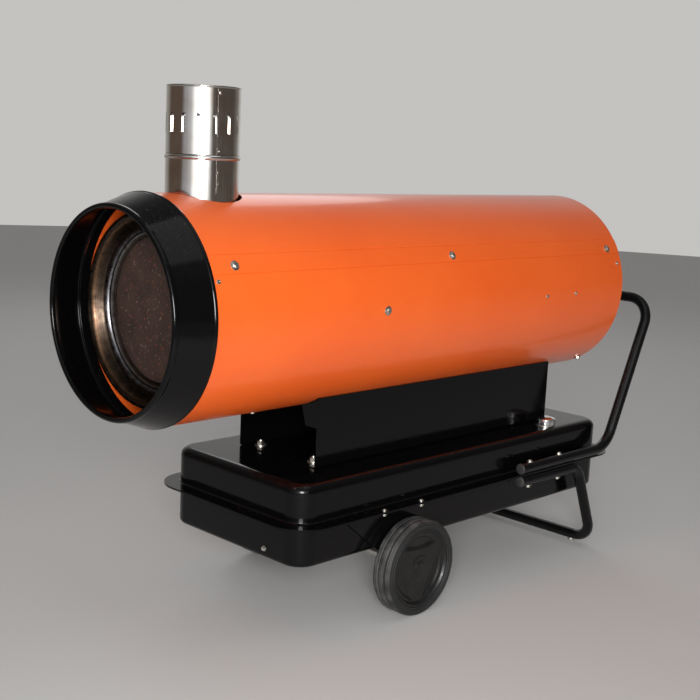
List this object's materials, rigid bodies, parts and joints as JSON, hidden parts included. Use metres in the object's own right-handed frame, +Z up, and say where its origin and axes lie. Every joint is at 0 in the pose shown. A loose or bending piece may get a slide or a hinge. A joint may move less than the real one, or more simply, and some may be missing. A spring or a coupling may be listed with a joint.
{
  "type": "indirect fired heater",
  "caption": "Indirect fired portable air heater: round barrel with outlet cone, slotted flue, drum and rear fan on a pedestal over a flanged fuel tank, with wheels, push handle and leg.",
  "frame": {"origin": "on the floor, under the middle of the object's length and width", "axes": "+X from the air outlet to the push handle, along the barrel; +Y to the side away from the fuel filler; +Z up"},
  "size_m": [1.2853, 0.444, 0.9134],
  "materials": {
    "orange_paint": "gloss",
    "black_paint": "gloss",
    "stainless_steel": "satin",
    "scorched_steel": "rusty",
    "zinc_plate": "satin",
    "chrome": "polished",
    "black_rubber": "matt",
    "grey_plastic": "matt",
    "red_plastic": "gloss",
    "cast_alloy": "matt",
    "copper": "satin",
    "ceramic": "gloss"
  },
  "bodies": {
    "heater": {"axle": "zinc_plate", "axle_bracket_far": "black_paint", "axle_bracket_near": "black_paint", "burner_plate": "cast_alloy", "burner_tube": "stainless_steel", "cable_gland": "grey_plastic", "casing_lower": "orange_paint", "casing_upper": "orange_paint", "control_box": "grey_plastic", "control_panel": "grey_plastic", "drain_plug": "zinc_plate", "drum_baffle": "scorched_steel", "drum_front": "stainless_steel", "drum_saddle_front": "stainless_steel", "drum_saddle_rear": "stainless_steel", "drum_shell": "stainless_steel", "electrode_left": "ceramic", "electrode_right": "ceramic", "fan_motor": "cast_alloy", "filler_neck": "zinc_plate", "flue_sleeve": "stainless_steel", "flue_spigot": "stainless_steel", "fuel_filter": "cast_alloy", "fuel_pump": "cast_alloy", "handle_cap_far": "black_rubber", "handle_cap_near": "black_rubber", "handle_tube": "black_paint", "ignition_transformer": "grey_plastic", "intake_guard": "black_paint", "leg_cap_far": "black_rubber", "leg_cap_near": "black_rubber", "leg_tube": "black_paint", "motor_mount": "black_paint", "nozzle_holder": "cast_alloy", "nozzle_line": "copper", "outlet_cone": "black_paint", "pedestal_channel": "black_paint", "rear_collar": "black_paint", "suction_line": "copper", "swirl_disc": "scorched_steel", "tank_lower": "black_paint", "tank_pickup": "zinc_plate", "tank_upper": "black_paint", "thermostat_socket": "grey_plastic"},
    "wheel_near": {"tyre_near": "black_rubber", "hub_near": "grey_plastic", "hub_cap_near": "grey_plastic"},
    "wheel_far": {"tyre_far": "black_rubber", "hub_far": "grey_plastic", "hub_cap_far": "grey_plastic"},
    "fan": {"fan_rotor": "cast_alloy", "motor_shaft": "zinc_plate", "pump_coupling": "black_rubber"},
    "cap": {"filler_cap": "chrome", "cap_gasket": "black_rubber"},
    "selector": {"selector_knob": "grey_plastic"},
    "reset": {"reset_button": "red_plastic"},
    "flap": {"socket_flap": "black_rubber"}
  },
  "joints": [
    {"name": "wheel_near_spin", "type": "hinge", "parent": "heater", "child": "wheel_near", "pos_m": [-0.118, -0.201, 0.088], "axis": [0, 1, 0], "continuous": true},
    {"name": "wheel_far_spin", "type": "hinge", "parent": "heater", "child": "wheel_far", "pos_m": [-0.118, 0.201, 0.088], "axis": [0, 1, 0], "continuous": true},
    {"name": "fan_spin", "type": "hinge", "parent": "heater", "child": "fan", "pos_m": [0.434, 0, 0.557], "axis": [1, 0, 0], "continuous": true},
    {"name": "cap_lift", "type": "slide", "parent": "heater", "child": "cap", "axis": [0, 0, 1], "range_m": [0, 0.05]},
    {"name": "selector_turn", "type": "hinge", "parent": "heater", "child": "selector", "pos_m": [0.394, -0.048, 0.3143], "axis": [1, 0, 0], "range_deg": [-45, 45]},
    {"name": "reset_press", "type": "slide", "parent": "heater", "child": "reset", "axis": [-1, 0, 0], "range_m": [0, 0.003], "stiffness_N_per_m": 300},
    {"name": "flap_open", "type": "hinge", "parent": "heater", "child": "flap", "pos_m": [0.40485, 0.048, 0.3355], "axis": [0, -1, 0], "range_deg": [0, 110], "stiffness_Nm_per_rad": 0.01, "springref_deg": -22.92}
  ]
}
